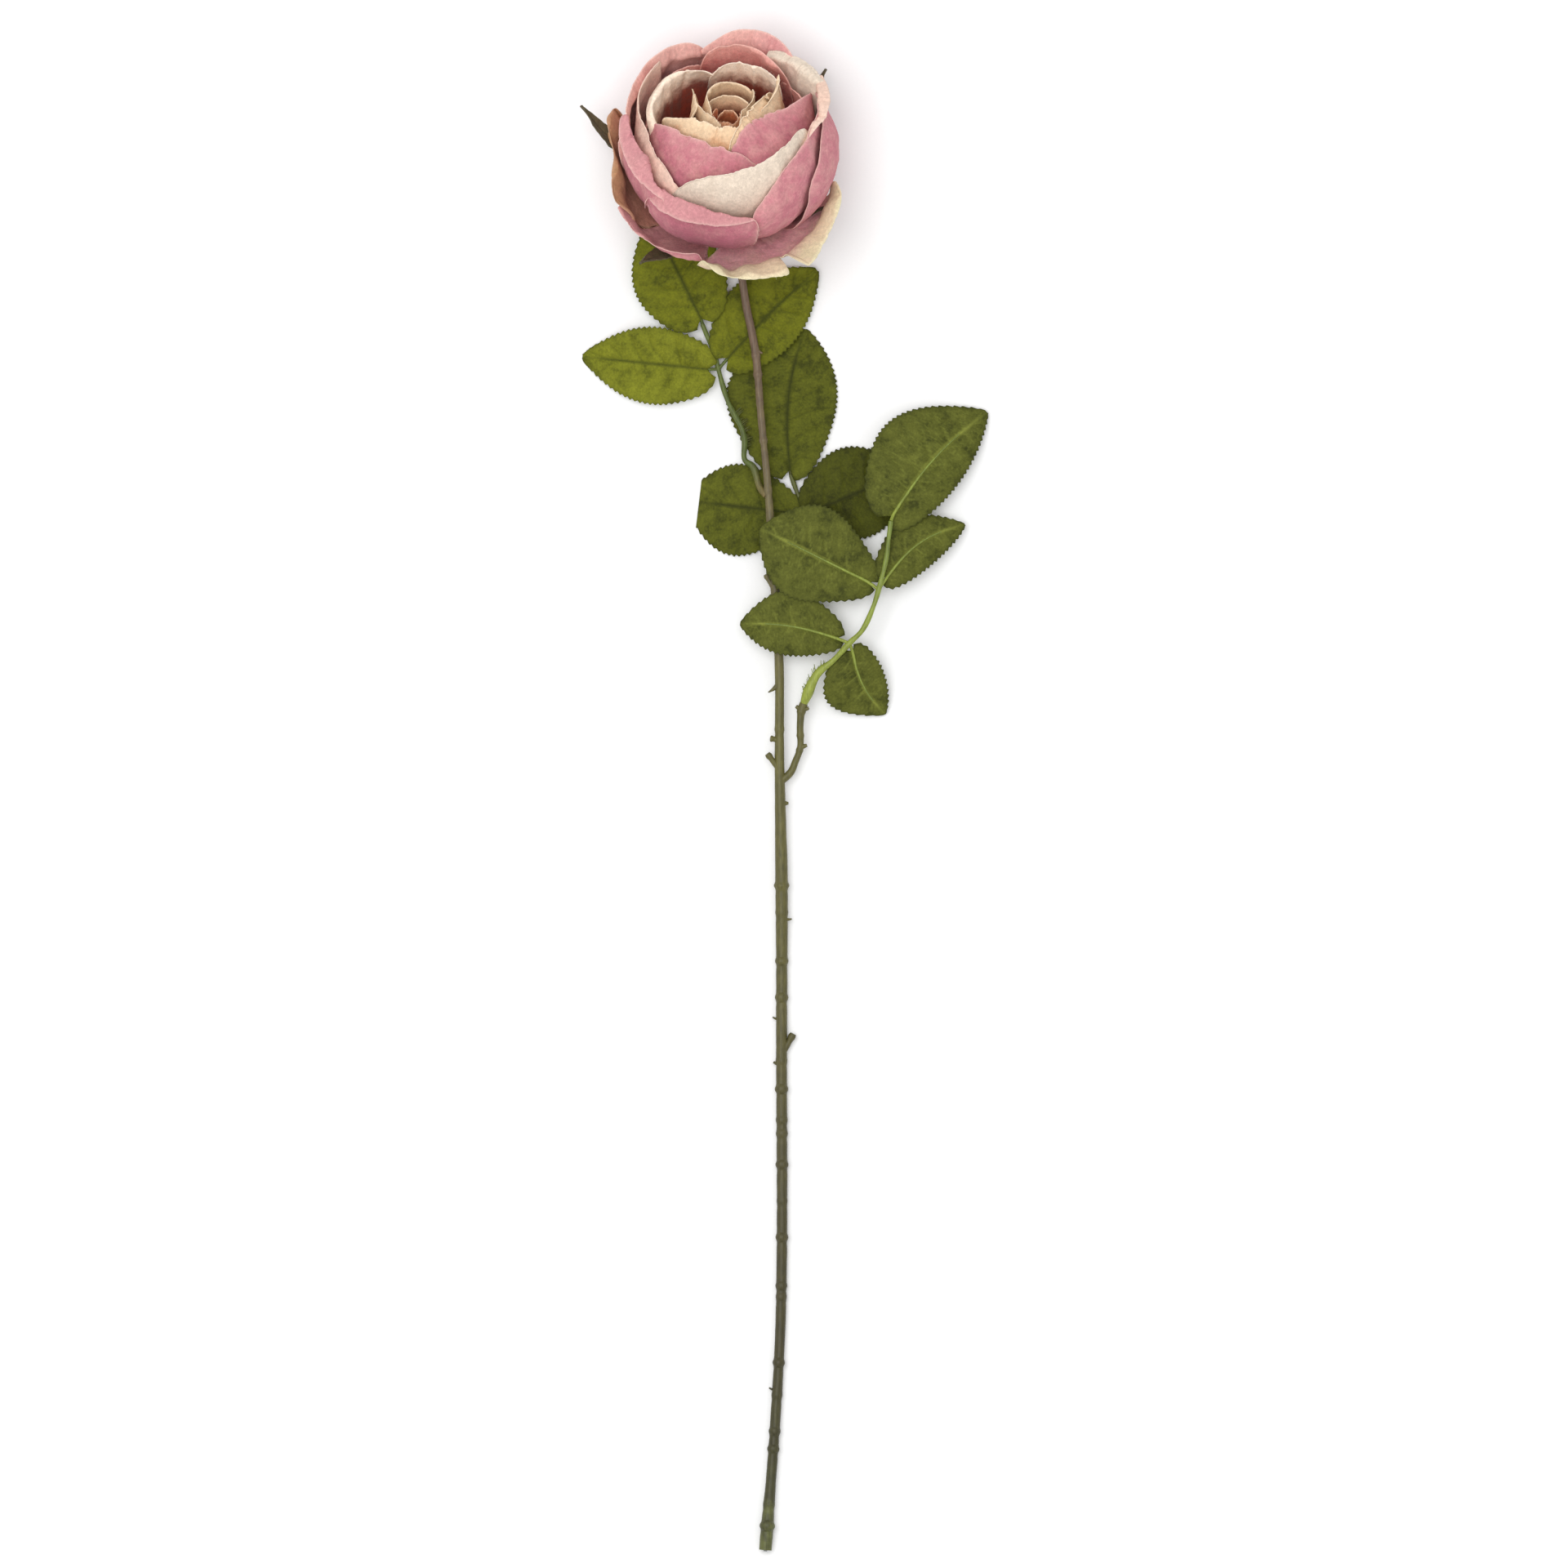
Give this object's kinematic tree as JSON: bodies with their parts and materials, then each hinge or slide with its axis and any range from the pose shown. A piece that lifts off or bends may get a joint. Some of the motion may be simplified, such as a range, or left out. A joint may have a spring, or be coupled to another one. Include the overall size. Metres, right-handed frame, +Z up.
{
  "type": "artificial rose stem",
  "caption": "Long-stemmed artificial garden rose with a full cupped bloom, a moulded thorny stem and sprigs of serrated leaflets, lying on a surface.",
  "frame": {"origin": "middle of the bounding box seen from above, on the surface that the rose lies on", "axes": "+Y runs up the stem from the cut end to the flower, +X to the right as seen from above, +Z up off the surface"},
  "size_m": [0.1818, 0.6692, 0.0928],
  "materials": {
    "stem_plastic": "satin",
    "wire_steel": "satin",
    "core_plastic": "matte",
    "calyx_plastic": "matte",
    "stalk_plastic": "satin",
    "leaf_fabric": "matte",
    "petal_cream": "matte",
    "petal_pink": "matte"
  },
  "bodies": {
    "root": {"heart_petal_1": "petal_cream", "heart_petal_2": "petal_cream", "heart_petal_3": "petal_cream", "heart_petal_4": "petal_cream", "heart_petal_5": "petal_cream", "swirl_petal_1": "petal_cream", "swirl_petal_2": "petal_cream", "swirl_petal_3": "petal_cream", "swirl_petal_4": "petal_cream", "collar_petal_1": "petal_cream", "collar_petal_2": "petal_cream", "collar_petal_3": "petal_cream", "collar_petal_4": "petal_cream", "collar_petal_5": "petal_cream", "inner_petal_1": "petal_pink", "inner_petal_2": "petal_pink", "inner_petal_3": "petal_pink", "inner_petal_4": "petal_pink", "inner_petal_5": "petal_pink", "middle_petal_1": "petal_cream", "middle_petal_2": "petal_cream", "middle_petal_3": "petal_cream", "middle_petal_4": "petal_cream", "middle_petal_5": "petal_cream", "outer_petal_1": "petal_pink", "outer_petal_2": "petal_pink", "outer_petal_3": "petal_pink", "outer_petal_4": "petal_pink", "outer_petal_5": "petal_pink", "guard_petal_1": "petal_pink", "guard_petal_2": "petal_pink", "guard_petal_3": "petal_pink", "guard_petal_4": "petal_pink", "guard_petal_5": "petal_pink", "flower_core": "core_plastic", "calyx": "calyx_plastic", "stem": "stem_plastic", "stem_wire": "wire_steel", "right_sprig_leaf_1": "leaf_fabric", "right_sprig_leaf_2": "leaf_fabric", "right_sprig_leaf_3": "leaf_fabric", "right_sprig_leaf_4": "leaf_fabric", "right_sprig_leaf_5": "leaf_fabric", "right_sprig_stalk": "stalk_plastic", "left_sprig_leaf_1": "leaf_fabric", "left_sprig_leaf_2": "leaf_fabric", "left_sprig_leaf_3": "leaf_fabric", "left_sprig_stalk": "stalk_plastic", "low_sprig_leaf_1": "leaf_fabric", "low_sprig_leaf_2": "leaf_fabric", "low_sprig_leaf_3": "leaf_fabric", "low_sprig_stalk": "stalk_plastic"}
  },
  "joints": []
}
